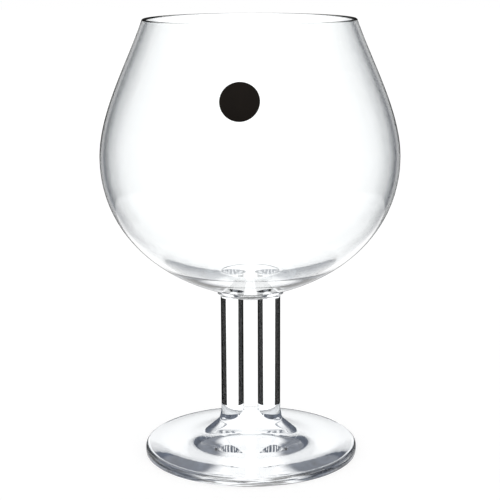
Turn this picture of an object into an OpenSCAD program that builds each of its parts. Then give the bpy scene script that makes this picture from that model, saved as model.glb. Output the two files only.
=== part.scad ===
// Brandy snifter: a wide blown bowl on a round plate, carried by two solid glass rods that stand
// side by side on the hub of a flat round foot. The glass rests on z = 0, its axis is Z,
// the rods stand side by side along X, and the label faces -Y. Sizes are in millimetres.

/* [Bowl] */
// Height of the bowl, from the plate under it to the rim
bowl_h = 86.2; // [70:0.1:110]
// Outer diameter at the rim
rim_d = 68; // [56:0.5:80]
// Outer diameter at the belly, the widest place
belly_d = 94.4; // [86:0.1:110]
// Height of the belly over the plate
belly_h = 43.1; // [36:0.1:50]
// Thickness of the wall at the belly
wall = 1.4; // [1:0.1:2.2]
// Thickness of the wall at the rim
rim_wall = 1.3; // [0.9:0.1:2]
// Thickness of the solid bottom, in the middle
bottom_t = 6; // [4:0.1:9]
// Lean of the wall at the rim, from upright, in degrees
rim_lean = 20; // [12:1:28]
// Rise of the underside where it leaves the plate, in degrees
bottom_rise = 16.5; // [10:0.5:24]

/* [Stem] */
// Diameter of each rod
rod_d = 7.3; // [6:0.1:9]
// Clear gap between the two rods
rod_gap = 4.6; // [3:0.1:7]
// Length of each rod between its two seats
rod_len = 35.8; // [20:0.1:60]
// Thickness of the round plate under the bowl
plate_t = 1.2; // [0.8:0.1:2.5]
// Radius that softens the plate's edge
plate_round = 0.4; // [0.2:0.05:0.4]
// Height of the flared collar that joins a rod to the plate
collar_h = 1.2; // [0.6:0.1:2]
// How far the collar flares out past the rod
collar_flare = 1; // [0.4:0.1:1.4]

/* [Hub] */
// Diameter of the low dome with which the hub sits on the foot
hub_d = 31.2; // [28:0.1:36]
// Rise of that dome in its middle
dome_rise = 1.8; // [0.6:0.1:2.4]
// Height of the hub, from the foot to the saddle between its two stubs
hub_h = 9.1; // [8:0.1:12]
// Thickness of the flat web that the two rods run into
web_t = 8.4; // [7.4:0.1:9]
// Squareness of the web in plan: 2 is an ellipse, and more is nearer to an oblong
web_square = 3; // [2:0.1:6]
// Width of the web at its root
web_w = 30.2; // [26:0.1:34]
// Height of the web's upright ends
web_end_h = 2.2; // [1.4:0.1:2.6]
// Radius that rounds those ends
web_end_round = 1; // [0.4:0.1:1.2]
// Width of the web at its waist, where its sloping sides meet the stubs
waist_w = 20.4; // [18:0.1:24]
// Height of the waist over the foot
waist_h = 6.1; // [4.5:0.1:7]
// Radius in the waist
waist_round = 3; // [1:0.1:4]
// Height over the foot at which the web begins to thin towards the saddle
face_h = 5.6; // [4:0.1:6.5]
// Width of the saddle's ridge
ridge_t = 0.5; // [0.3:0.1:2]
// How far the two stubs for the rods stand over the saddle
stub_rise = 1.7; // [0.8:0.1:3]

/* [Foot] */
// Diameter of the foot
foot_d = 69; // [60:0.5:84]
// Height of the foot where the hub sits
foot_h = 4.8; // [4:0.1:7]
// Slope of the foot there, in degrees, which the dome of the hub carries on
seat_fall = 18; // [6:1:24]
// Diameter at which the hollow curve round the hub runs out
skirt_d = 48; // [40:0.5:50]
// Height of the foot there
skirt_h = 2.9; // [2.8:0.1:3.8]
// Slope of the foot there, in degrees
skirt_fall = 4.5; // [1:0.5:8]
// Diameter at which the top begins to round over to the edge
brim_d = 52; // [51:0.5:62]
// Height of the foot there
brim_h = 2.75; // [2:0.05:2.8]
// Slope of the foot there, in degrees
brim_fall = 5; // [2:0.5:10]
// Height of the foot's outermost line
edge_h = 1; // [0.8:0.1:1.8]
// Radius under the foot's edge
sole_round = 0.5; // [0.2:0.05:0.6]
// Diameter of the shallow hollow under the foot
hollow_d = 61; // [50:0.5:64]
// Depth of that hollow in the middle
hollow_h = 0.3; // [0.2:0.1:1.5]

/* [Label] */
// Diameter of the round label
label_d = 11.7; // [8:0.1:16]
// Thickness of the label
label_t = 0.12; // [0.08:0.01:0.3]
// Turn of the label about the axis from the front, in degrees, positive to the left
label_turn = 4; // [-40:1:40]

/* [Hidden] */
$fn = 120;

// Straight pieces that stand for each curve, and for each rounded corner
curve_steps = 28;
corner_steps = 8;
// Rings of the web, and points round each
web_rings = 24;
web_points = 48;

// Reach of each handle of the bowl's curves, as a share of the rise or run that the curve covers
rim_handle_share = 0.33;
belly_up_share = 0.33;
belly_down_share = 0.443;
base_handle_share = 0.70;
inner_down_share = 0.43;
inner_floor_share = 0.786;
edge_handle_share = 0.3;
brim_handle_share = 0.5;
skirt_handle_share = 0.35;
seat_handle_share = 0.33;
dome_side_share = 0.3;
dome_top_share = 0.15;
ridge_side_share = 0.5;
ridge_top_share = 0.6;
// Where the label's middle lies on the upper curve, from the belly to the rim
label_place_share = 0.51;

rod_r = rod_d / 2;
rod_x = (rod_d + rod_gap) / 2;
plate_r = rod_d + rod_gap / 2;
rim_r = rim_d / 2;
belly_r = belly_d / 2;
hub_r = hub_d / 2;
foot_r = foot_d / 2;
hollow_r = hollow_d / 2;
skirt_r = skirt_d / 2;
brim_r = brim_d / 2;
web_x = web_w / 2;
waist_x = waist_w / 2;
web_y = web_t / 2;

// Levels from the table up: each piece seats on the one below it
crown_z = foot_h + hub_h;
stub_z = crown_z + stub_rise;
collar_z = stub_z + rod_len;
plate_z = collar_z + collar_h;
base_z = plate_z + plate_t;
floor_z = base_z + bottom_t;
belly_z = base_z + belly_h;
rim_z = base_z + bowl_h;
// The lip is a half circle, so the wall's two faces end this far below the rim
lip_z = rim_z - rim_wall / 2;

function unit(v) = v / norm(v);

// A point on a cubic curve through p[0] and p[3], with handles p[1] and p[2]
function bezier(p, t) =
    pow(1 - t, 3) * p[0] + 3 * pow(1 - t, 2) * t * p[1] + 3 * (1 - t) * t * t * p[2] + pow(t, 3) * p[3];

// The direction of that curve
function bezier_way(p, t) =
    unit(pow(1 - t, 2) * (p[1] - p[0]) + 2 * (1 - t) * t * (p[2] - p[1]) + t * t * (p[3] - p[2]));

function curve(p) = [for (i = [0 : curve_steps]) bezier(p, i / curve_steps)];

function backwards(list) = [for (i = [len(list) - 1 : -1 : 0]) list[i]];

function angle_of(v) = atan2(v[1], v[0]);
function short_turn(a) = a > 180 ? a - 360 : a < -180 ? a + 360 : a;

// Corner b of an outline that comes from a and goes on to c, rounded to radius r
function corner(a, b, c, r) =
    let(
        u = unit(a - b),
        v = unit(c - b),
        half = acos(u * v) / 2,
        middle = b + unit(u + v) * r / sin(half),
        start = angle_of(b + u * r / tan(half) - middle),
        turn = short_turn(angle_of(b + v * r / tan(half) - middle) - start)
    )
    [for (i = [0 : corner_steps])
        let(a = start + turn * i / corner_steps) middle + r * [cos(a), sin(a)]];

// The bowl's outside: from the plate's edge up to the belly, and from the belly up to the lip
function outside_low() =
    let(run = belly_r - plate_r, way = [cos(bottom_rise), sin(bottom_rise)])
    [[plate_r, base_z],
     [plate_r, base_z] + base_handle_share * run * way,
     [belly_r, belly_z - belly_down_share * belly_h],
     [belly_r, belly_z]];

function upper(belly, rim) =
    let(rise = lip_z - belly_z, way = [sin(rim_lean), -cos(rim_lean)])
    [[belly, belly_z],
     [belly, belly_z + belly_up_share * rise],
     [rim, lip_z] + rim_handle_share * rise * way,
     [rim, lip_z]];

function outside_high() = upper(belly_r, rim_r);
function inside_high() = upper(belly_r - wall, rim_r - rim_wall);

// The bowl's inside below the belly ends level on the axis, which leaves the bottom thick
function inside_low() =
    let(r = belly_r - wall, drop = belly_z - floor_z)
    [[r, belly_z],
     [r, belly_z - inner_down_share * drop],
     [inner_floor_share * r, floor_z],
     [0, floor_z]];

// The lip is a half circle from the outer face over to the inner one
function lip() =
    let(r = rim_wall / 2)
    [for (i = [1 : corner_steps - 1])
        let(a = 180 * i / corner_steps) [rim_r - r, lip_z] + r * [cos(a), sin(a)]];

module bowl() {
    color("lightcyan", 0.45)
    rotate_extrude()
    polygon(concat(
        [[0, base_z]],
        curve(outside_low()),
        curve(outside_high()),
        lip(),
        backwards(curve(inside_high())),
        curve(inside_low())
    ));
}

// A collar is solid: it starts at the rod's radius and flares into the plate in a hollow curve
module collar() {
    rotate_extrude()
    polygon(concat(
        [[0, collar_z]],
        [for (i = [0 : corner_steps])
            let(a = 90 * i / corner_steps)
            [rod_r + collar_flare * (1 - cos(a)), collar_z + collar_h * sin(a)]],
        [[0, plate_z]]
    ));
}

// The collars are trimmed to the plate's own round outline
module stem_plate() {
    low = [plate_r, plate_z];
    high = [plate_r, base_z];
    color("lightcyan", 0.6) {
        rotate_extrude()
        polygon(concat(
            [[0, plate_z]],
            corner([0, plate_z], low, high, plate_round),
            [high, [0, base_z]]
        ));
        intersection() {
            translate([0, 0, collar_z]) cylinder(r = plate_r - plate_round, h = collar_h);
            for (side = [-1, 1]) translate([side * rod_x, 0, 0]) collar();
        }
    }
}

module rod(side) {
    color("lightcyan", 0.6)
    translate([side * rod_x, 0, stub_z])
    cylinder(r = rod_r, h = rod_len);
}

module rod_left() {
    rod(-1);
}

module rod_right() {
    rod(1);
}

// A curve between two points of an outline, the outer one first, with the slope at each, in
// degrees, and the reach of each handle as a share of the run
function fall(outer, outer_fall, outer_share, inner, inner_fall, inner_share) =
    let(run = outer[0] - inner[0])
    curve([outer,
           outer + outer_share * run * [-1, tan(outer_fall)],
           inner + inner_share * run * [1, -tan(inner_fall)],
           inner]);

// The dome carries the foot's slope on, and is level on the axis
function dome() = fall([hub_r, foot_h], seat_fall, dome_side_share,
                       [0, foot_h + dome_rise], 0, dome_top_share);

// One half of the web seen from the front: upright ends, sloping sides, then the stubs' width
function web_front() =
    let(
        root = [web_x, foot_h],
        end = [web_x, foot_h + web_end_h],
        waist = [waist_x, foot_h + waist_h],
        top = [rod_x + rod_r, crown_z]
    )
    concat([root], corner(root, end, waist, web_end_round), corner(end, waist, top, waist_round), [top]);

// One half of the web seen from the side: flat faces that round over into the saddle
function web_side() =
    let(face = [web_y, foot_h + face_h], rise = hub_h - face_h, ridge = [ridge_t / 2, crown_z])
    concat([[web_y, foot_h]],
           curve([face,
                  face + [0, ridge_side_share * rise],
                  ridge + [ridge_top_share * (web_y - ridge_t / 2), 0],
                  ridge]));

// How far one half of an outline reaches at a height
function reach_at(outline, z) = lookup(z, [for (p = outline) [p[1], p[0]]]);

// A value to a power, with its sign kept
function bent(value, power) = sign(value) * pow(abs(value), power);

// A rounded oblong of the web at a height
function web_ring(z) =
    let(x = reach_at(web_front(), z), y = reach_at(web_side(), z))
    [for (i = [0 : web_points - 1])
        let(a = 360 * (i + 1 / 2) / web_points)
        [x * bent(cos(a), 2 / web_square), y * bent(sin(a), 2 / web_square), z]];

// Rounded oblongs, one over the other, from the foot up to the saddle
module web() {
    n = web_points;
    polyhedron(
        points = [for (i = [0 : web_rings]) each web_ring(foot_h + hub_h * i / web_rings)],
        faces = concat(
            [[for (j = [0 : n - 1]) j]],
            [for (i = [0 : web_rings - 1], j = [0 : n - 1])
                let(k = (j + 1) % n, low = i * n, high = low + n)
                each [[low + j, high + j, high + k], [low + j, high + k, low + k]]],
            [[for (j = [n - 1 : -1 : 0]) web_rings * n + j]]
        )
    );
}

// The hub is a flat web on a low dome. It fills the space between the two rods and spreads below
// them, and thins upwards into a saddle, from which two round stubs stand out.
module hub() {
    color("lightcyan", 0.6)
    union() {
        rotate_extrude() polygon(concat([[0, foot_h]], dome()));
        web();
        for (side = [-1, 1])
            translate([side * rod_x, 0, foot_h]) cylinder(r = rod_r, h = stub_z - foot_h);
    }
}

// The foot falls in a hollow curve from the hub, runs out nearly level, and rounds over to its
// edge. It rests on a flat ring round its own hollow.
module foot() {
    seat = [hub_r, foot_h];
    skirt = [skirt_r, skirt_h];
    brim = [brim_r, brim_h];
    edge = [foot_r, edge_h];
    sole = [foot_r, 0];
    color("lightcyan", 0.6)
    rotate_extrude()
    polygon(concat(
        [for (i = [0 : curve_steps])
            let(share = i / curve_steps) [hollow_r * share, hollow_h * (1 - share * share)]],
        corner([hollow_r, 0], sole, edge, sole_round),
        curve([edge,
               edge + [0, edge_handle_share * (brim_h - edge_h)],
               brim + brim_handle_share * (foot_r - brim_r) * [1, -tan(brim_fall)],
               brim]),
        fall(brim, brim_fall, skirt_handle_share, skirt, skirt_fall, skirt_handle_share),
        fall(skirt, skirt_fall, skirt_handle_share, seat, seat_fall, seat_handle_share),
        [[0, foot_h]]
    ));
}

// The label is a round cut from a thin skin that lies on the bowl's outer face
module label() {
    high = outside_high();
    middle = bezier(high, label_place_share);
    way = bezier_way(high, label_place_share);
    skin = [for (i = [0 : curve_steps])
        let(t = i / curve_steps, w = bezier_way(high, t)) bezier(high, t) + label_t * [w[1], -w[0]]];
    color("#1c1614")
    intersection() {
        rotate_extrude() polygon(concat(curve(high), backwards(skin)));
        rotate([0, 0, -label_turn])
        translate([0, -middle[0], middle[1]])
        rotate([90 - angle_of([way[1], -way[0]]), 0, 0])
        cylinder(r = label_d / 2, h = label_d, center = true);
    }
}

bowl();
stem_plate();
rod_left();
rod_right();
hub();
foot();
label();
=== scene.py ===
"""Brandy snifter in clear glass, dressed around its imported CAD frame. Metres, +Z up."""

import math

import bmesh
import bpy
import numpy as np
from bpy.props import FloatProperty, FloatVectorProperty, IntProperty, PointerProperty
from mathutils import Matrix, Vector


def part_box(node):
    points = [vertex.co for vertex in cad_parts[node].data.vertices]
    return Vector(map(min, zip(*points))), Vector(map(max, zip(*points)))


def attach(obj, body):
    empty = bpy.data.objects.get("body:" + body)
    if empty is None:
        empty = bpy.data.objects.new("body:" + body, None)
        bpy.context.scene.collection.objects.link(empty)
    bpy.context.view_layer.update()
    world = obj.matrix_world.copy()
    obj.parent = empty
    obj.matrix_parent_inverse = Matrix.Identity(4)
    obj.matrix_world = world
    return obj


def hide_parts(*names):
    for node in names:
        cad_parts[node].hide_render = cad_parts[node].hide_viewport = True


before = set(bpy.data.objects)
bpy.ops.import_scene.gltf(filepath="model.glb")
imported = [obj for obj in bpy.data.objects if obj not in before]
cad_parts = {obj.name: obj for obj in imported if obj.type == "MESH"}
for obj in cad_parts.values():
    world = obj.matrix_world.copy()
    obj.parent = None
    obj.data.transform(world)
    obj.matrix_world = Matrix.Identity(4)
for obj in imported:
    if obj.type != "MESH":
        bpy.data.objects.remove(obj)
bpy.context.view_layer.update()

bl_info = {
    "name": "Brandy Snifter",
    "version": (1, 0, 0),
    "blender": (4, 5, 0),
    "location": "3D Viewport > Sidebar > Snifter",
    "description": "Builds a brandy snifter in clear glass, with its stage and camera",
    "category": "Object",
}

MM = 0.001
SLIVER = 1e-7  # closer than this, two points or two heights are the same
CLEAR = 1  # material index of the faces where two pieces are fused
WHITE = (1, 1, 1, 1)
SENSOR = 36.0  # width in millimetres, for which the focal length is given

# Size and rise of the waviness that each way of making glass leaves
BLOWN = (30 * MM, 0.01 * MM)
DRAWN = (12 * MM, 0.004 * MM)
PRESSED = (16 * MM, 0.006 * MM)

BOWL_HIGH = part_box("bowl")[1]
PLATE_LOW, PLATE_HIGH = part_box("stem_plate")
ROD_LOW, ROD_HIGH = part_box("rod_right")
HUB_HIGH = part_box("hub")[1]
FOOT_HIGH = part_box("foot")[1]
ROD_RADIUS = (ROD_HIGH.x - ROD_LOW.x) / 2
ROD_X = (ROD_LOW.x + ROD_HIGH.x) / 2


# Sizes and colours

def length(name, description, default):
    """A length in metres, shown in the scene's own unit."""
    return FloatProperty(name=name, description=description, default=default,
                         min=0.0, precision=5, unit="LENGTH", subtype="DISTANCE")


def angle(name, description, degrees):
    return FloatProperty(name=name, description=description, default=math.radians(degrees),
                         unit="ROTATION", subtype="ANGLE")


def share(name, description, default):
    return FloatProperty(name=name, description=description, default=default,
                         min=0.0, max=1.0, subtype="FACTOR")


def number(name, description, default):
    """A plain number, with no unit and no upper limit."""
    return FloatProperty(name=name, description=description, default=default, min=0.0,
                         precision=3)


def colour(name, description, default):
    return FloatVectorProperty(name=name, description=description, default=default,
                               size=3, min=0.0, max=1.0, subtype="COLOR")


class SnifterSizes(bpy.types.PropertyGroup):
    """Sizes that the frame's boxes don't give by themselves."""

    rim_radius: length("Rim radius", "Outer radius at the rim", 33.4 * MM)
    belly_rise: length("Belly rise", "Height of the belly over the plate", 43.1 * MM)
    wall: length("Wall", "Thickness of the wall at the belly", 1.4 * MM)
    rim_wall: length("Rim wall", "Thickness of the wall at the rim", 1.3 * MM)
    bottom: length("Bottom", "Thickness of the solid bottom", 7.1 * MM)
    rim_lean: angle("Rim lean", "Lean of the wall at the rim", 20)
    bottom_rise: angle("Bottom rise", "Rise of the underside at the plate", 16.5)
    rim_handle: share("Rim handle", "Reach of the curve at the rim", 0.33)
    belly_up: share("Belly up", "Reach of the curve over the belly", 0.33)
    belly_down: share("Belly down", "Reach of the curve under the belly", 0.443)
    base_handle: share("Base handle", "Reach of the curve at the plate", 0.7)
    turn_rise: length("Turn height", "Height over the floor where the wall turns in", 3 * MM)
    turn_down: share("Turn down", "Reach of that turn down to the floor", 0.5)
    inner_floor: share("Inner floor", "Reach of the inside curve over the floor", 0.6)
    plate_round: length("Plate round", "Radius under the plate's edge", 0.4 * MM)
    collar_rise: length("Collar rise", "Height of a rod's flared collar", 1.2 * MM)
    collar_flare: length("Collar flare", "How far the collar flares out", 1 * MM)
    dome_rise: length("Dome rise", "Rise of the low dome under the web", 1.9 * MM)
    crown_rise: length("Saddle rise", "Height of the saddle over the foot", 8.28 * MM)
    web_thick: length("Web thickness", "Thickness of the web between the rods", 12 * MM)
    web_square: number("Web squareness", "2 is an ellipse in plan, more an oblong", 2.5)
    web_reach: length("Web reach", "Half width of the web at its root", 15.1 * MM)
    web_end: length("Web end", "Height of the web's upright ends", 0.6 * MM)
    web_end_round: length("Web end round", "Radius that rounds those ends", 0.8 * MM)
    waist_reach: length("Waist reach", "Half width of the web at its waist", 10.2 * MM)
    waist_rise: length("Waist rise", "Height of the waist over the foot", 4.7 * MM)
    waist_round: length("Waist round", "Radius in the waist", 3 * MM)
    face_rise: length("Face rise", "Height at which the web begins to thin", 2 * MM)
    ridge_thick: length("Ridge", "Width of the saddle's ridge", 0.5 * MM)
    ridge_side: share("Ridge side", "Reach of the curve up the web's face", 0.3)
    ridge_top: share("Ridge top", "Reach of the curve over the saddle", 0.3)
    stub_lift: length("Stub lift", "How far over the foot the stubs begin, inside the web", 0.1 * MM)
    seat_rise: length("Seat height", "Height of the foot where the hub sits", 5.62 * MM)
    seat_fall: angle("Seat slope", "Slope of the foot there", 15.5)
    skirt_radius: length("Skirt radius", "Where the curve round the hub runs out", 22.5 * MM)
    skirt_rise: length("Skirt height", "Height of the foot there", 4.14 * MM)
    skirt_fall: angle("Skirt slope", "Slope of the foot there", 3.8)
    brim_radius: length("Brim radius", "Where the top begins to fall to the edge", 29.8 * MM)
    brim_rise: length("Brim height", "Height of the foot there", 3.45 * MM)
    brim_fall: angle("Brim slope", "Slope of the foot there", 10.6)
    shoulder_radius: length("Shoulder radius", "Where that fall ends, just inside the bead", 32.8 * MM)
    shoulder_rise: length("Shoulder height", "Height of the foot there", 2.83 * MM)
    shoulder_fall: angle("Shoulder slope", "Slope of the foot there", 11.5)
    bead_radius: length("Bead radius", "Top of the bead that ends the foot", 33.35 * MM)
    bead_rise: length("Bead height", "Height of the bead", 2.74 * MM)
    bead_fall: angle("Bead slope", "Slope on the bead", 3)
    edge_rise: length("Edge height", "Height of the foot's outermost line", 0.8 * MM)
    edge_handle: share("Edge handle", "Reach of the curve up from the edge", 0.8)
    bead_handle: share("Bead handle", "Reach of the curve out from the bead", 0.8)
    short_handle: share("Short handle", "Reach of the curves inwards from these places", 0.35)
    long_handle: share("Long handle", "Reach of the curves out from the seat and skirt", 0.4)
    dome_side: share("Dome side", "Reach of the dome's curve at its rim", 0.333)
    dome_top: share("Dome top", "Reach of the dome's curve in its middle", 0.333)
    sole_round: length("Sole round", "Radius under the foot's edge", 0.12 * MM)
    hollow_radius: length("Hollow radius", "Radius of the hollow underneath", 30.5 * MM)
    hollow_rise: length("Hollow rise", "Depth of the hollow in the middle", 0.3 * MM)
    label_radius: length("Label radius", "Radius of the round label", 5.85 * MM)
    label_thick: length("Label thickness", "Thickness of the label", 0.12 * MM)
    label_gap: length("Label gap", "Air between the label and the glass", 0.015 * MM)
    label_easing: share("Label easing", "Roundness of the label's edge, by its thickness", 0.35)
    label_turn: angle("Label turn", "Turn of the label to the left of the front", 4)
    label_place: share("Label place", "Where the label lies between belly and rim", 0.51)
    around: IntProperty(name="Around", description="Facets round each turned piece",
                        default=192, min=48, max=512)
    along: IntProperty(name="Along", description="Steps along each curve",
                       default=64, min=16, max=200)
    round_steps: IntProperty(name="Corner steps", description="Steps round each corner",
                             default=12, min=4, max=32)
    rod_steps: IntProperty(name="Rod steps", description="Steps up each rod",
                           default=48, min=1, max=200)
    web_around: IntProperty(name="Web facets", description="Facets round the web",
                            default=144, min=48, max=512)
    label_around: IntProperty(name="Label facets", description="Facets round the label",
                              default=96, min=24, max=512)
    label_rings: IntProperty(name="Label rings", description="Rings from the label's middle out",
                             default=20, min=4, max=64)
    label_path: IntProperty(name="Label path", description="Steps that measure the bowl's curve",
                            default=400, min=50, max=2000)
    easing_steps: IntProperty(name="Easing steps", description="Steps round the label's edge",
                              default=5, min=2, max=16)


class SnifterFinish(bpy.types.PropertyGroup):
    """Colours and optical values."""

    bowl_tint: colour("Bowl tint", "Colour of the thin bowl", (0.985, 0.995, 0.995))
    stem_tint: colour("Stem tint", "Colour of the solid stem", (0.975, 0.985, 0.99))
    foot_tint: colour("Foot tint", "Colour of the hub and foot", (0.955, 0.972, 0.985))
    # Painted shade: a near-black Base Color where a rod's face turns away from the eye, in place of
    # the dark surroundings seen through its sides
    edge: colour("Rod edge", "Dark outline of the solid rods", (0.0012, 0.0012, 0.0012))
    painted_edge_from: share("Edge from", "How far a rod's face has turned where its outline begins", 0.185)
    painted_edge_fade: share("Edge fade", "Over how much turning the outline fades in", 0.03)
    # Painted shade: dark streaks on the outer side of the foot's edge, in place of the dark
    # surroundings that the rim shows
    painted_rim_shade: colour("Rim streaks", "Colour of the streaks round the foot's edge", (0.1, 0.1, 0.1))
    streak_part: share("Streak share", "How much of the edge the streaks cover", 0.5)
    # Painted shade: the bowl's tint turns grey where its side turns away from the eye, above a given
    # height
    side: colour("Bowl side", "Grey that the bowl's side turns to at its outline", (0.3, 0.31, 0.32))
    painted_side_from: share("Side from", "How far the side has turned where that begins", 0.72)
    painted_side_fade: share("Side fade", "Over how much turning it fades in", 0.5)
    painted_side_low: length("Side low", "Height under which the outline stays clear", 76 * MM)
    painted_side_low_fade: length("Side low fade", "Height over which it turns clear", 8 * MM)
    streak_edge: length("Streak edge", "Width over which the streaks begin", 0.4 * MM)
    streak_soft: share("Streak fade", "How softly a streak ends", 0.08)
    streak_wide: number("Streaks across", "How often they change in a metre across", 90)
    streak_high: number("Streaks up", "How often they change in a metre up", 2600)
    film: colour("Label film", "Colour of the black label", (0.009, 0.006, 0.004))
    film_dark: number("Film dark", "Brightness of its darker patches", 0.7)
    film_light: number("Film light", "Brightness of its lighter patches", 1.4)
    film_patches: number("Film patches", "How often the patches change in a metre", 240)
    film_grain: number("Film grain", "How often the grain changes in a metre", 2600)
    film_relief: share("Film relief", "Strength of the grain's relief", 0.35)
    film_rise: length("Film rise", "Rise of the grain", 0.01 * MM)
    film_rough: share("Film roughness", "Least roughness of the film", 0.34)
    film_rougher: share("Film rougher", "How much rougher its lighter patches are", 0.12)
    film_mirror: share("Film mirror", "How strongly the film mirrors", 0.12)
    bend: number("Index", "Refractive index of the glass", 1.52)


class SnifterStage(bpy.types.PropertyGroup):
    """The camera, the white ground and the light."""

    eye_back: length("Eye distance", "Distance of the camera in front", 439.7 * MM)
    eye_left: length("Eye aside", "Distance of the camera left of the middle", 0.1 * MM)
    eye_rise: length("Eye height", "Height of the camera", 163.7 * MM)
    eye_pitch: angle("Pitch", "How far the camera looks down", 12.44)
    eye_roll: angle("Roll", "Roll of the camera", -0.21)
    lens: FloatProperty(name="Lens", description="Focal length for a 36 mm sensor",
                        default=101.32, min=10.0, unit="CAMERA")
    near: length("Near", "Nearest distance that the camera sees", 0.01)
    far: length("Far", "Farthest distance that the camera sees", 50.0)
    ground: length("Ground", "Half width of the ground plane", 3.0)
    ground_gap: length("Ground gap", "How far the ground lies under the foot", 0.1 * MM)
    ground_glow: share("Ground glow", "Light that the ground gives by itself", 0.78)
    ground_matt: share("Ground grey", "Grey of the ground in the light", 0.26)
    horizon: angle("Horizon", "How far below level the dark surroundings reach", 20)
    ceiling: angle("Ceiling", "How far above level they reach", 30)
    low_soft: share("Horizon edge", "Fade of the surroundings below and above", 0.03)
    window: angle("Backdrop", "Half angle of the bright backdrop behind the glass", 27)
    window_soft: angle("Backdrop edge", "Angle over which the backdrop fades at the sides", 16)
    window_top: angle("Backdrop top", "Elevation at which the backdrop ends", 89)
    front: angle("Front lamp", "Half angle of the light behind the camera", 25)
    glow: share("Backdrop glow", "Brightness of the backdrop seen by way of inner faces", 0.86)
    mottle: number("Mottle", "How uneven the surroundings are", 1.6)
    mottle_size: number("Mottle size", "How often that changes", 5)
    top_soft: share("Top edge", "Fade of the backdrop's top", 0.05)
    room: colour("Room", "Dark surroundings that the outer faces mirror", (0.03, 0.03, 0.03))
    depth: colour("Depth", "Surroundings seen by way of inner faces", (0.095, 0.108, 0.135))
    even: share("Even", "Mix of room and depth where the surroundings are even", 0.6)
    behind: share("Behind", "Extra brightness of what is seen through the glass", 0.28)


# Nodes

class Value:
    """One socket of a node tree. Arithmetic on it adds the Math nodes that work it out."""

    def __init__(self, nodes, socket):
        self.nodes, self.socket = nodes, socket

    def other(self, name):
        return Value(self.nodes, self.socket.node.outputs[name])

    def maths(self, operation, *values):
        return self.nodes.add("ShaderNodeMath", {"operation": operation},
                              dict(enumerate(values)))

    def __add__(self, value):
        return self.maths("ADD", self, value)

    def __radd__(self, value):
        return self.maths("ADD", value, self)

    def __sub__(self, value):
        return self.maths("SUBTRACT", self, value)

    def __rsub__(self, value):
        return self.maths("SUBTRACT", value, self)

    def __mul__(self, value):
        return self.maths("MULTIPLY", self, value)

    def __rmul__(self, value):
        return self.maths("MULTIPLY", value, self)

    def __lt__(self, value):
        return self.maths("LESS_THAN", self, value)

    def most(self, value):
        """The larger of two values."""
        return self.maths("MAXIMUM", self, value)

    def fades(self, middle, soft):
        """1 below a middle value, 0 above it, eased over a soft width."""
        return self.nodes.add("ShaderNodeMapRange", {"interpolation_type": "SMOOTHSTEP"}, {
            "Value": self, "From Min": middle + soft / 2, "From Max": middle - soft / 2},
            out="Result")


class Nodes:
    """A material's or a world's node tree, emptied and ready to be filled."""

    def __init__(self, owner):
        owner.use_nodes = True
        self.tree = owner.node_tree
        self.tree.nodes.clear()

    def add(self, kind, settings=None, sockets=None, out=0):
        """Adds a node: its settings first, then the values or links of its sockets."""
        node = self.tree.nodes.new(kind)
        for name, value in (settings or {}).items():
            setattr(node, name, value)
        for name, value in (sockets or {}).items():
            if isinstance(value, Value):
                self.tree.links.new(value.socket, node.inputs[name])
            else:
                node.inputs[name].default_value = value
        return Value(self, node.outputs[out]) if node.outputs else node

    def mix(self, factor, none, full):
        """A colour between two others."""
        return self.add("ShaderNodeMix", {"data_type": "RGBA"}, {
            "Factor": factor, "A": none, "B": full}, out="Result")

    def noise(self, place, scale, detail, rough):
        return self.add("ShaderNodeTexNoise", {}, {
            "Vector": place, "Scale": scale, "Detail": detail, "Roughness": rough})

    def bump(self, height, strength, rise):
        return self.add("ShaderNodeBump", {}, {
            "Strength": strength, "Distance": rise, "Height": height})

    def surface(self, shader):
        self.add("ShaderNodeOutputMaterial", {}, {"Surface": shader})


def material(name):
    made = bpy.data.materials.new(name)
    return made, Nodes(made)


def rgba(colour_value):
    return (*colour_value, 1.0)


def clear_material():
    """Lets light through untouched, where the glass of two pieces is one."""
    made = bpy.data.materials.get("fused_glass")
    if made:
        return made
    made, nodes = material("fused_glass")
    nodes.surface(nodes.add("ShaderNodeBsdfTransparent", {}, {"Color": WHITE}))
    return made


def glass_material(name, tint, waves, edge=None, low=None, pressed=False):
    """Clear glass with the faint waviness that its making leaves.

    edge gives painted shade at the outline: how far a face has turned away where the dark
    colour begins, over how much turning it fades in, and its colour. Under the height low
    there is none. Pressed glass gets dark streaks of painted shade round its edge.
    """
    made = bpy.data.materials.get(name)
    if made:
        return made
    made, nodes = material(name)
    finish = bpy.context.scene.snifter_finish
    place = nodes.add("ShaderNodeTexCoord", out="Object")
    wave_size, wave_rise = waves
    wavy = nodes.noise(place, 1 / wave_size, detail=2, rough=0.45)
    shade = rgba(tint)
    # Painted shade: the tint turns to a dark colour where the face turns away from the eye
    if edge:
        begins, soft, dark = edge
        turned_away = nodes.add("ShaderNodeLayerWeight", {}, {"Blend": 0.5}, out="Facing")
        plain = turned_away.fades(begins, soft)
        if low:
            height = nodes.add("ShaderNodeSeparateXYZ", {}, {"Vector": place}, out="Z")
            plain = plain.most(height.fades(low, finish.painted_side_low_fade))
        shade = nodes.mix(plain, rgba(dark), rgba(tint))
    # Painted shade: dark streaks on the outer side of the foot's edge
    if pressed:
        shade = nodes.mix(paint_rim_shade(nodes, place), rgba(tint), rgba(finish.painted_rim_shade))
    nodes.surface(nodes.add("ShaderNodeBsdfPrincipled", {}, {
        "Base Color": shade, "Roughness": 0.0, "Transmission Weight": 1.0,
        "IOR": finish.bend, "Normal": nodes.bump(wavy, 1, wave_rise)}))
    return made


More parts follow.
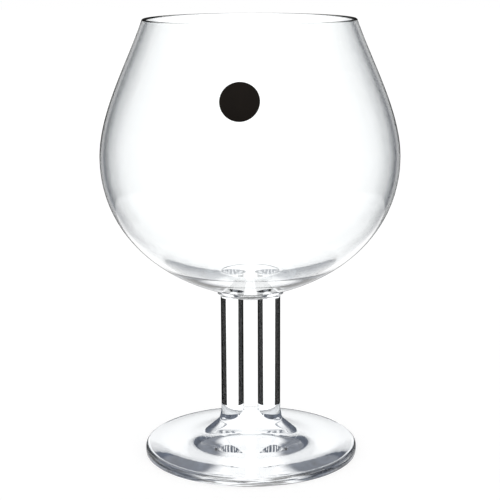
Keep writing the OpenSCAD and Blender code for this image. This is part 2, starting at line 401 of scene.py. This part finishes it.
def paint_rim_shade(nodes, place):
    """Painted shade: dark streaks that run round the foot's edge, seen on its outer side only."""
    sizes, finish = bpy.context.scene.snifter_sizes, bpy.context.scene.snifter_finish
    across = nodes.add("ShaderNodeSeparateXYZ", {}, {"Vector": place})
    deep, height = across.other("Y"), across.other("Z")
    radius = across.maths("SQRT", across * across + deep * deep)
    drawn_out = nodes.add("ShaderNodeCombineXYZ", {}, {
        "X": across * finish.streak_wide, "Y": deep * finish.streak_wide,
        "Z": height * finish.streak_high})
    uneven = nodes.noise(drawn_out, 1, detail=2, rough=0.5)
    edge_begins = (sizes.bead_radius + FOOT_HIGH.x) / 2
    on_edge = 1 - radius.fades(edge_begins, finish.streak_edge)
    outside = 1 - nodes.add("ShaderNodeNewGeometry", out="Backfacing")
    return outside * on_edge * (1 - uneven.fades(1 - finish.streak_part, finish.streak_soft))


def pressed_glass():
    """The hub and the foot are one pressing, so they share their glass."""
    return glass_material("pressed_glass", bpy.context.scene.snifter_finish.foot_tint, PRESSED,
                          pressed=True)


def film_material():
    """Black printed film, slightly satin, with a fine grain."""
    made, nodes = material("black_film")
    finish = bpy.context.scene.snifter_finish
    place = nodes.add("ShaderNodeTexCoord", out="Object")
    grain = nodes.noise(place, finish.film_grain, detail=3, rough=0.6)
    patches = nodes.noise(place, finish.film_patches, detail=2, rough=0.5)
    shade = nodes.mix(patches, rgba([c * finish.film_dark for c in finish.film]),
                      rgba([c * finish.film_light for c in finish.film]))
    nodes.surface(nodes.add("ShaderNodeBsdfPrincipled", {}, {
        "Base Color": shade, "Roughness": finish.film_rough + finish.film_rougher * patches,
        "Specular IOR Level": finish.film_mirror,
        "Normal": nodes.bump(grain, finish.film_relief, finish.film_rise)}))
    return made


# Outlines, as (radius, height)

def curve(points, steps):
    """A Bezier curve by its two ends and two handles."""
    t = np.linspace(0, 1, steps + 1)[:, None]
    a, b, c, d = (np.asarray(p, float) for p in points)
    return (1 - t) ** 3 * a + 3 * (1 - t) ** 2 * t * b + 3 * (1 - t) * t ** 2 * c + t ** 3 * d


def curve_way(points, t):
    """The curve's direction, a length of 1."""
    a, b, c, d = (np.asarray(p, float) for p in points)
    way = (1 - t) ** 2 * (b - a) + 2 * (1 - t) * t * (c - b) + t * t * (d - c)
    return way / np.linalg.norm(way)


def corner(a, b, c, radius, steps):
    """Corner b of an outline from a to c, rounded."""
    a, b, c = (np.asarray(p, float) for p in (a, b, c))
    u, v = (a - b) / np.linalg.norm(a - b), (c - b) / np.linalg.norm(c - b)
    half = math.acos(float(u @ v)) / 2
    middle = b + (u + v) / np.linalg.norm(u + v) * radius / math.sin(half)
    first, last = (math.atan2(*(b + way * radius / math.tan(half) - middle)[::-1])
                   for way in (u, v))
    turn = (last - first + math.pi) % (2 * math.pi) - math.pi
    angles = first + turn * np.linspace(0, 1, steps + 1)
    return middle + radius * np.column_stack([np.cos(angles), np.sin(angles)])


def line(a, b, steps):
    return np.linspace(a, b, steps + 1)


def joined(*runs):
    """Runs of points in a row, without the points that two runs share."""
    made = [np.asarray(runs[0][0], float)]
    for run in runs:
        for point in np.asarray(run, float):
            if np.linalg.norm(point - made[-1]) > SLIVER:
                made.append(point)
    return np.array(made)


# Meshes

def turned(outline, around, clear=lambda a, b: False):
    """A closed surface of revolution. clear() says which spans are fused to a neighbour."""
    made = bmesh.new()
    spin = 2 * math.pi * np.arange(around) / around
    rings = []
    for radius, height in outline:
        if radius < SLIVER:
            rings.append([made.verts.new((0, 0, height))])
        else:
            rings.append([made.verts.new((radius * math.cos(s), radius * math.sin(s), height))
                          for s in spin])
    for i in range(len(rings) - 1):
        low, high = rings[i], rings[i + 1]
        index = CLEAR if clear(outline[i], outline[i + 1]) else 0
        for j in range(around):
            k = (j + 1) % around
            if len(low) == 1 and len(high) == 1:
                continue
            if len(low) == 1:
                face = made.faces.new((low[0], high[k], high[j]))
            elif len(high) == 1:
                face = made.faces.new((low[j], low[k], high[0]))
            else:
                face = made.faces.new((low[j], low[k], high[k], high[j]))
            face.material_index = index
            face.smooth = True
    bmesh.ops.recalc_face_normals(made, faces=made.faces)
    return made


def piece(name, made, materials, sharp=35):
    """Turns a bmesh into a named piece that rides on the body, smooth up to sharp degrees."""
    data = bpy.data.meshes.new(name)
    made.to_mesh(data)
    made.free()
    for each in materials:
        data.materials.append(each)
    data.set_sharp_from_angle(angle=math.radians(sharp))
    thing = bpy.data.objects.new(name, data)
    bpy.context.scene.collection.objects.link(thing)
    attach(thing, "root")
    return thing


def merged(first, *others):
    """The exact union of closed surfaces, as one bmesh. Each keeps its material indices."""
    def thing(made):
        data = bpy.data.meshes.new("part")
        made.to_mesh(data)
        made.free()
        for _ in range(CLEAR + 1):
            data.materials.append(clear_material())
        done = bpy.data.objects.new("part", data)
        bpy.context.scene.collection.objects.link(done)
        return done

    base = thing(first)
    tools = [thing(other) for other in others]
    for tool in tools:
        union = base.modifiers.new("union", "BOOLEAN")
        union.operation, union.solver, union.object = "UNION", "EXACT", tool
    shown = base.evaluated_get(bpy.context.evaluated_depsgraph_get())
    result = bmesh.new()
    result.from_mesh(shown.to_mesh())
    shown.to_mesh_clear()
    for old in (base, *tools):
        data = old.data
        bpy.data.objects.remove(old)
        bpy.data.meshes.remove(data)
    return result


def level(height):
    """Says whether a span of an outline lies flat at a height."""
    return lambda a, b: max(abs(a[1] - height), abs(b[1] - height)) < SLIVER


# Outlines of the pieces

def bowl_outside(sizes):
    """The two curves of the bowl's outer face, from the plate to the belly and on to the lip."""
    base, belly = PLATE_HIGH.z, PLATE_HIGH.z + sizes.belly_rise
    lip = BOWL_HIGH.z - sizes.rim_wall / 2
    reach = sizes.base_handle * (BOWL_HIGH.x - PLATE_HIGH.x)
    low = [(PLATE_HIGH.x, base),
           (PLATE_HIGH.x + reach * math.cos(sizes.bottom_rise),
            base + reach * math.sin(sizes.bottom_rise)),
           (BOWL_HIGH.x, belly - sizes.belly_down * sizes.belly_rise),
           (BOWL_HIGH.x, belly)]
    return low, bowl_upper(sizes, BOWL_HIGH.x, sizes.rim_radius, belly, lip)


def bowl_upper(sizes, belly_radius, rim_radius, belly, lip):
    """The curve from the belly to the lip, for the outer or the inner face."""
    rise = lip - belly
    return [(belly_radius, belly),
            (belly_radius, belly + sizes.belly_up * rise),
            (rim_radius + sizes.rim_handle * rise * math.sin(sizes.rim_lean),
             lip - sizes.rim_handle * rise * math.cos(sizes.rim_lean)),
            (rim_radius, lip)]


def along_wall(points, wall, steps):
    """A curve's parallel, a wall's thickness to its left."""
    ways = [curve_way(points, t) for t in np.linspace(0, 1, steps + 1)]
    return curve(points, steps) + wall * np.array([(-way[1], way[0]) for way in ways])


def bowl_outline(sizes):
    """Inside, the lower wall keeps its thickness until it turns in to a flat floor."""
    low, high = bowl_outside(sizes)
    belly, lip = high[0][1], high[3][1]
    inner = BOWL_HIGH.x - sizes.wall
    inner_high = bowl_upper(sizes, inner, sizes.rim_radius - sizes.rim_wall, belly, lip)
    floor = PLATE_HIGH.z + sizes.bottom
    wall_low = along_wall(low, sizes.wall, sizes.along)[::-1]
    wall_low = wall_low[wall_low[:, 1] > floor + sizes.turn_rise]
    turn, way = wall_low[-1], wall_low[-1] - wall_low[-2]
    turned_in = [turn, turn + way * sizes.turn_down * (floor - turn[1]) / way[1],
                 (sizes.inner_floor * turn[0], floor), (0, floor)]
    half = sizes.rim_wall / 2
    around_lip = [(sizes.rim_radius - half + half * math.cos(a), lip + half * math.sin(a))
                  for a in np.linspace(0, math.pi, sizes.round_steps + 1)]
    return joined(line((0, PLATE_HIGH.z), (PLATE_HIGH.x, PLATE_HIGH.z), steps=2),
                  curve(low, sizes.along), curve(high, sizes.along), around_lip,
                  curve(inner_high, sizes.along)[::-1], wall_low,
                  curve(turned_in, sizes.along))


def plate_outline(sizes):
    """The plate without its collars, rounded under its edge."""
    low, top = PLATE_LOW.z + sizes.collar_rise, PLATE_HIGH.z
    edge = PLATE_HIGH.x
    return joined([(0, low)],
                  corner((0, low), (edge, low), (edge, top), sizes.plate_round,
                         sizes.round_steps),
                  [(edge, top), (0, top)])


def collar_outline(sizes, inside):
    """A collar runs on a little way inside the plate, so that the two are one."""
    turn = np.linspace(0, math.pi / 2, sizes.round_steps + 1)
    flare = np.column_stack([ROD_RADIUS + sizes.collar_flare * (1 - np.cos(turn)),
                             PLATE_LOW.z + sizes.collar_rise * np.sin(turn)])
    top = PLATE_LOW.z + sizes.collar_rise + inside
    return joined([(0, PLATE_LOW.z)], flare, [(flare[-1][0], top), (0, top)])


def fall(outer, outer_fall, outer_share, inner, inner_fall, inner_share, steps):
    """A curve inwards between two points, by the slope and the reach of its handle at each."""
    run = outer[0] - inner[0]
    return curve([outer,
                  (outer[0] - outer_share * run, outer[1] + outer_share * run * math.tan(outer_fall)),
                  (inner[0] + inner_share * run, inner[1] - inner_share * run * math.tan(inner_fall)),
                  inner], steps)


def dome_outline(sizes):
    """The low dome under the web carries the foot's slope on."""
    seat = (HUB_HIGH.x, sizes.seat_rise)
    return joined([(0, sizes.seat_rise), seat],
                  fall(seat, sizes.seat_fall, sizes.dome_side,
                       (0, sizes.seat_rise + sizes.dome_rise), 0, sizes.dome_top, sizes.along))


def stub_outline(sizes):
    """A stub starts a little above the foot, inside the web."""
    low = sizes.seat_rise + sizes.stub_lift
    return joined([(0, low)],
                  line((ROD_RADIUS, low), (ROD_RADIUS, HUB_HIGH.z), sizes.round_steps),
                  [(0, HUB_HIGH.z)])


def rod_outline(sizes):
    low, high = ROD_LOW.z, ROD_HIGH.z
    return joined([(0, low)], line((ROD_RADIUS, low), (ROD_RADIUS, high), sizes.rod_steps),
                  [(0, high)])


def web_rings(sizes):
    """Half width and half thickness of the web at each height, from its root to the saddle."""
    low, crown = sizes.seat_rise, sizes.seat_rise + sizes.crown_rise
    root, end = (sizes.web_reach, low), (sizes.web_reach, low + sizes.web_end)
    waist = (sizes.waist_reach, low + sizes.waist_rise)
    top = (ROD_HIGH.x, crown)
    front = joined([root], corner(root, end, waist, sizes.web_end_round, sizes.round_steps),
                   corner(end, waist, top, sizes.waist_round, sizes.round_steps), [top])
    half, face, ridge = sizes.web_thick / 2, low + sizes.face_rise, sizes.ridge_thick / 2
    side = joined([(half, low)], curve([(half, face),
                                        (half, face + sizes.ridge_side * (crown - face)),
                                        (ridge + sizes.ridge_top * (half - ridge), crown),
                                        (ridge, crown)], sizes.along))
    # Heights within a micrometre of each other are one
    heights = np.unique(np.round(np.concatenate([front[:, 1], side[:, 1]]), decimals=6))
    return np.column_stack([np.interp(heights, front[:, 1], front[:, 0]),
                            np.interp(heights, side[:, 1], side[:, 0]), heights])


def foot_outline(sizes):
    """Hollow underneath, a thick rim, and a top that falls from the seat in four curves."""
    seat = (HUB_HIGH.x, sizes.seat_rise)
    edge, sole = (FOOT_HIGH.x, sizes.edge_rise), (FOOT_HIGH.x, 0)
    bead = (sizes.bead_radius, sizes.bead_rise)
    shoulder = (sizes.shoulder_radius, sizes.shoulder_rise)
    brim = (sizes.brim_radius, sizes.brim_rise)
    skirt = (sizes.skirt_radius, sizes.skirt_rise)
    short, long = sizes.short_handle, sizes.long_handle
    falls = [fall(bead, sizes.bead_fall, short, shoulder, sizes.shoulder_fall, short, sizes.along),
             fall(shoulder, sizes.shoulder_fall, short, brim, sizes.brim_fall, short, sizes.along),
             fall(brim, sizes.brim_fall, short, skirt, sizes.skirt_fall, long, sizes.along),
             fall(skirt, sizes.skirt_fall, short, seat, sizes.seat_fall, long, sizes.along)]
    part = np.linspace(0, 1, sizes.along + 1)
    hollow = np.column_stack([sizes.hollow_radius * part,
                              sizes.hollow_rise * (1 - part ** 2)])
    reach = sizes.bead_handle * (edge[0] - bead[0])
    over = curve([edge, (edge[0], edge[1] + sizes.edge_handle * (bead[1] - edge[1])),
                  (bead[0] + reach, bead[1] - reach * math.tan(sizes.bead_fall)), bead],
                 sizes.along)
    return joined(hollow, corner(hollow[-1], sole, edge, sizes.sole_round, sizes.round_steps),
                  over, *falls, [(0, sizes.seat_rise)])


def web_mesh(sizes):
    """Rounded oblongs, one over the other: the web that the rods run into."""
    made = bmesh.new()
    turn = 2 * math.pi * (np.arange(sizes.web_around) + 0.5) / sizes.web_around
    across, deep = (np.sign(part) * np.abs(part) ** (2 / sizes.web_square)
                    for part in (np.cos(turn), np.sin(turn)))
    rings = [[made.verts.new((reach * x, half * y, height)) for x, y in zip(across, deep)]
             for reach, half, height in web_rings(sizes)]
    for low, high in zip(rings, rings[1:]):
        for j in range(len(low)):
            k = (j + 1) % len(low)
            made.faces.new((low[j], low[k], high[k], high[j])).smooth = True
    made.faces.new(rings[0][::-1])
    made.faces.new(rings[-1])
    bmesh.ops.recalc_face_normals(made, faces=made.faces)
    return made


def on_rod(made, side):
    """Moves a turned form from the middle to the left rod or the right one."""
    bmesh.ops.translate(made, verts=made.verts, vec=(side * ROD_X, 0, 0))
    return made


def label_mesh(sizes):
    """A round film that follows the bowl's curve, flat underneath and eased at its edge."""
    high = bowl_outside(sizes)[1]
    t = np.linspace(0, 1, sizes.label_path + 1)
    path = curve(high, sizes.label_path)
    ways = np.array([curve_way(high, each) for each in t])
    run = np.concatenate([[0], np.cumsum(np.linalg.norm(np.diff(path, axis=0), axis=1))])
    middle_run = np.interp(sizes.label_place, t, run)

    def on_bowl(across, up, off):
        """A point of the bowl's face by the lengths across and up it, and off it."""
        s = middle_run + up
        radius, height = (np.interp(s, run, path[:, i]) for i in (0, 1))
        way = np.array([np.interp(s, run, ways[:, i]) for i in (0, 1)])
        radius, height = radius + off * way[1], height - off * way[0]
        about = -math.pi / 2 - sizes.label_turn + across / radius
        return radius * math.cos(about), radius * math.sin(about), height

    rings, around = sizes.label_rings, sizes.label_around
    outer, thick, lift = sizes.label_radius, sizes.label_thick, sizes.label_gap
    easing = thick * sizes.label_easing
    rows = [(outer * i / rings, thick) for i in range(1, rings)]
    rows += [(outer - easing * (1 - math.sin(a)), thick - easing * (1 - math.cos(a)))
             for a in np.linspace(0, math.pi / 2, sizes.easing_steps + 1)]
    rows += [(outer, lift)]
    rows += [(outer * i / rings, lift) for i in range(rings - 1, 0, -1)]
    made = bmesh.new()
    top = made.verts.new(on_bowl(0, 0, thick))
    under = made.verts.new(on_bowl(0, 0, lift))
    circles = [[made.verts.new(on_bowl(r * math.cos(a), r * math.sin(a), off))
                for a in 2 * math.pi * np.arange(around) / around] for r, off in rows]
    for j in range(around):
        k = (j + 1) % around
        made.faces.new((top, circles[0][j], circles[0][k]))
        made.faces.new((under, circles[-1][k], circles[-1][j]))
        for inner, wider in zip(circles, circles[1:]):
            made.faces.new((inner[j], wider[j], wider[k], inner[k]))
    for face in made.faces:
        face.smooth = True
    bmesh.ops.recalc_face_normals(made, faces=made.faces)
    return made


# Operators

class SnifterBuild:
    """What every piece's operator shares."""

    bl_options = {"REGISTER", "UNDO"}

    @property
    def sizes(self):
        return bpy.context.scene.snifter_sizes

    @property
    def finish(self):
        return bpy.context.scene.snifter_finish


class SNIFTER_OT_bowl(SnifterBuild, bpy.types.Operator):
    """Blown bowl, thin at the rim and solid at the bottom"""

    bl_idname = "snifter.bowl"
    bl_label = "Bowl"

    def execute(self, context):
        sizes, finish = self.sizes, self.finish
        # The bowl's glass carries painted shade that greys its side at the outline
        glass = glass_material("blown_glass", finish.bowl_tint, BLOWN,
                               (finish.painted_side_from, finish.painted_side_fade, finish.side),
                               finish.painted_side_low)
        made = turned(bowl_outline(sizes), sizes.around, level(PLATE_HIGH.z))
        thing = piece("blown_bowl", made, [glass, clear_material()])
        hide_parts("bowl")
        return {"FINISHED"}


class SNIFTER_OT_stem_plate(SnifterBuild, bpy.types.Operator):
    """Round plate under the bowl, with a flared collar for each rod"""

    bl_idname = "snifter.stem_plate"
    bl_label = "Stem plate"

    def execute(self, context):
        sizes = self.sizes
        glass = glass_material("fused_plate_glass", self.finish.stem_tint, DRAWN)
        collar = collar_outline(sizes, sizes.plate_round / 2)
        collars = [on_rod(turned(collar, sizes.around, level(PLATE_LOW.z)), side)
                   for side in (-1, 1)]
        plate = turned(plate_outline(sizes), sizes.around, level(PLATE_HIGH.z))
        thing = piece("fused_plate", merged(plate, *collars), [glass, clear_material()])
        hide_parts("stem_plate")
        return {"FINISHED"}


class SNIFTER_OT_rods(SnifterBuild, bpy.types.Operator):
    """Two solid glass rods, side by side"""

    bl_idname = "snifter.rods"
    bl_label = "Rods"

    def execute(self, context):
        sizes, finish = self.sizes, self.finish
        # The rods' glass carries painted shade at its outline, by how far each face turns away
        glass = glass_material("drawn_glass", finish.stem_tint, DRAWN,
                               (finish.painted_edge_from, finish.painted_edge_fade, finish.edge))
        foot_end, bowl_end = level(ROD_LOW.z), level(ROD_HIGH.z)
        for name, side in (("left", -1), ("right", 1)):
            made = on_rod(turned(rod_outline(sizes), sizes.around,
                                 lambda a, b: foot_end(a, b) or bowl_end(a, b)), side)
            thing = piece("glass_rod_" + name, made, [glass, clear_material()])
            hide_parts("rod_" + name)
        return {"FINISHED"}


class SNIFTER_OT_hub(SnifterBuild, bpy.types.Operator):
    """Flat web on a low dome, with two round stubs that the rods stand on"""

    bl_idname = "snifter.hub"
    bl_label = "Hub"

    def execute(self, context):
        sizes = self.sizes
        stubs = [on_rod(turned(stub_outline(sizes), sizes.around, level(HUB_HIGH.z)), side)
                 for side in (-1, 1)]
        dome = turned(dome_outline(sizes), sizes.around, level(sizes.seat_rise))
        thing = piece("stem_hub", merged(dome, web_mesh(sizes), *stubs),
                      [pressed_glass(), clear_material()])
        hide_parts("hub")
        return {"FINISHED"}


class SNIFTER_OT_foot(SnifterBuild, bpy.types.Operator):
    """Flat round foot that rises to the hub, with a rounded edge and a shallow hollow"""

    bl_idname = "snifter.foot"
    bl_label = "Foot"

    def execute(self, context):
        sizes = self.sizes
        made = turned(foot_outline(sizes), sizes.around, level(sizes.seat_rise))
        thing = piece("round_foot", made, [pressed_glass(), clear_material()])
        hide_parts("foot")
        return {"FINISHED"}


class SNIFTER_OT_label(SnifterBuild, bpy.types.Operator):
    """Bare round black label that follows the bowl's curve"""

    bl_idname = "snifter.label"
    bl_label = "Label"

    def execute(self, context):
        thing = piece("round_label", label_mesh(self.sizes), [film_material()],
                      sharp=60)
        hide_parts("label")
        return {"FINISHED"}


def light_world(stage):
    """White all round for the eye and for light, with dark surroundings that outline glass.

    The outer faces mirror a dark band, from some way below level to some way above it, and
    white elsewhere. What the inner faces mirror is dark too, but for the backdrop and the
    lamp in front. What is seen straight through the glass is white.
    """
    world = bpy.data.worlds.new("white_room")
    bpy.context.scene.world = world
    nodes = Nodes(world)
    seen = nodes.add("ShaderNodeLightPath")
    through = seen.other("Is Transmission Ray")
    unmirrored = seen.other("Glossy Depth") < 1
    way = nodes.add("ShaderNodeTexCoord", out="Generated")
    parts = nodes.add("ShaderNodeSeparateXYZ", {}, {"Vector": way})
    height = parts.other("Z")
    aside = parts.maths("ABSOLUTE", parts.maths("ARCTAN2", parts, parts.other("Y")))
    backdrop = (aside.fades(stage.window, stage.window_soft)
                * height.fades(math.sin(stage.window_top), stage.top_soft))
    front = (math.pi - aside).fades(stage.front, stage.window_soft)
    below = height.fades(-math.sin(stage.horizon), stage.low_soft)
    above = 1 - height.fades(math.sin(stage.ceiling), stage.low_soft)
    mottle = stage.mottle * (nodes.noise(way, stage.mottle_size, detail=4, rough=0.6) - 0.5)
    glow = stage.glow + (1 - stage.glow) * mottle
    inside = unmirrored.most(backdrop.most(front) * glow)
    bright = through * inside + (1 - through) * (below + above)
    lit = seen.most(seen.other("Is Diffuse Ray"))
    dark = nodes.mix(through * (stage.even + mottle), rgba(stage.room),
                     rgba([c / stage.even for c in stage.depth]))
    shade = nodes.mix(lit.most(bright), dark, WHITE)
    sky = nodes.add("ShaderNodeBackground", {}, {
        "Color": shade, "Strength": 1 + stage.behind * through})
    nodes.add("ShaderNodeOutputWorld", {}, {"Surface": sky})
    world.cycles.sampling_method = "NONE"


def ground_material(stage):
    """White ground. What it gathers from the light leaves the object a faint shadow."""
    made, nodes = material("white_ground")
    seen = nodes.add("ShaderNodeLightPath")
    glow = nodes.add("ShaderNodeEmission", {}, {"Color": WHITE, "Strength": stage.ground_glow})
    matt = nodes.add("ShaderNodeBsdfDiffuse", {}, {"Color": rgba([stage.ground_matt] * 3)})
    lit = nodes.add("ShaderNodeAddShader", {}, {0: glow, 1: matt})
    clear = nodes.add("ShaderNodeBsdfTransparent")
    nodes.surface(nodes.add("ShaderNodeMixShader", {}, {
        "Fac": seen.most(seen.other("Is Diffuse Ray")), 1: clear, 2: lit}))
    return made


def ground_mesh(stage):
    """A square under the foot, as mesh data."""
    made = bmesh.new()
    made.faces.new([made.verts.new((x * stage.ground, y * stage.ground, -stage.ground_gap))
                    for x, y in ((-1, -1), (1, -1), (1, 1), (-1, 1))])
    data = bpy.data.meshes.new("ground")
    made.to_mesh(data)
    made.free()
    data.materials.append(ground_material(stage))
    return data


def camera_data(stage):
    data = bpy.data.cameras.new("stage_camera")
    data.lens, data.sensor_width = stage.lens, SENSOR
    data.clip_start, data.clip_end = stage.near, stage.far
    return data


class SNIFTER_OT_stage(SnifterBuild, bpy.types.Operator):
    """White ground, plain light and the camera"""

    bl_idname = "snifter.stage"
    bl_label = "Stage"

    def execute(self, context):
        scene, stage = context.scene, context.scene.snifter_stage
        camera = bpy.data.objects.new("stage_camera", camera_data(stage))
        scene.collection.objects.link(camera)
        camera.matrix_world = (Matrix.Translation((-stage.eye_left, -stage.eye_back,
                                                   stage.eye_rise))
                               @ Matrix.Rotation(math.pi / 2 - stage.eye_pitch, 4, "X")
                               @ Matrix.Rotation(stage.eye_roll, 4, "Z"))
        scene.camera = camera
        light_world(stage)
        ground = bpy.data.objects.new("ground", ground_mesh(stage))
        scene.collection.objects.link(ground)
        scene.view_settings.view_transform = "Standard"
        scene.cycles.max_bounces = 32
        scene.cycles.transmission_bounces = 32
        scene.cycles.glossy_bounces = 16
        scene.cycles.transparent_max_bounces = 48
        return {"FINISHED"}


class SNIFTER_PT_panel(bpy.types.Panel):
    """Lists the steps of the snifter"""

    bl_label = "Brandy snifter"
    bl_idname = "SNIFTER_PT_panel"
    bl_space_type = "VIEW_3D"
    bl_region_type = "UI"
    bl_category = "Snifter"

    def draw(self, context):
        for step in STEPS:
            self.layout.operator(step.bl_idname)


STEPS = (SNIFTER_OT_stage, SNIFTER_OT_bowl, SNIFTER_OT_stem_plate, SNIFTER_OT_rods,
         SNIFTER_OT_hub, SNIFTER_OT_foot, SNIFTER_OT_label)
GROUPS = {"snifter_sizes": SnifterSizes, "snifter_finish": SnifterFinish,
          "snifter_stage": SnifterStage}


def register():
    for each in (*GROUPS.values(), *STEPS, SNIFTER_PT_panel):
        bpy.utils.register_class(each)
    for name, group in GROUPS.items():
        setattr(bpy.types.Scene, name, PointerProperty(type=group))


def unregister():
    for name in GROUPS:
        delattr(bpy.types.Scene, name)
    for each in reversed((*GROUPS.values(), *STEPS, SNIFTER_PT_panel)):
        bpy.utils.unregister_class(each)


def main():
    register()
    for step in STEPS:
        family, name = step.bl_idname.split(".")
        getattr(getattr(bpy.ops, family), name)()


if __name__ == "__main__":
    main()
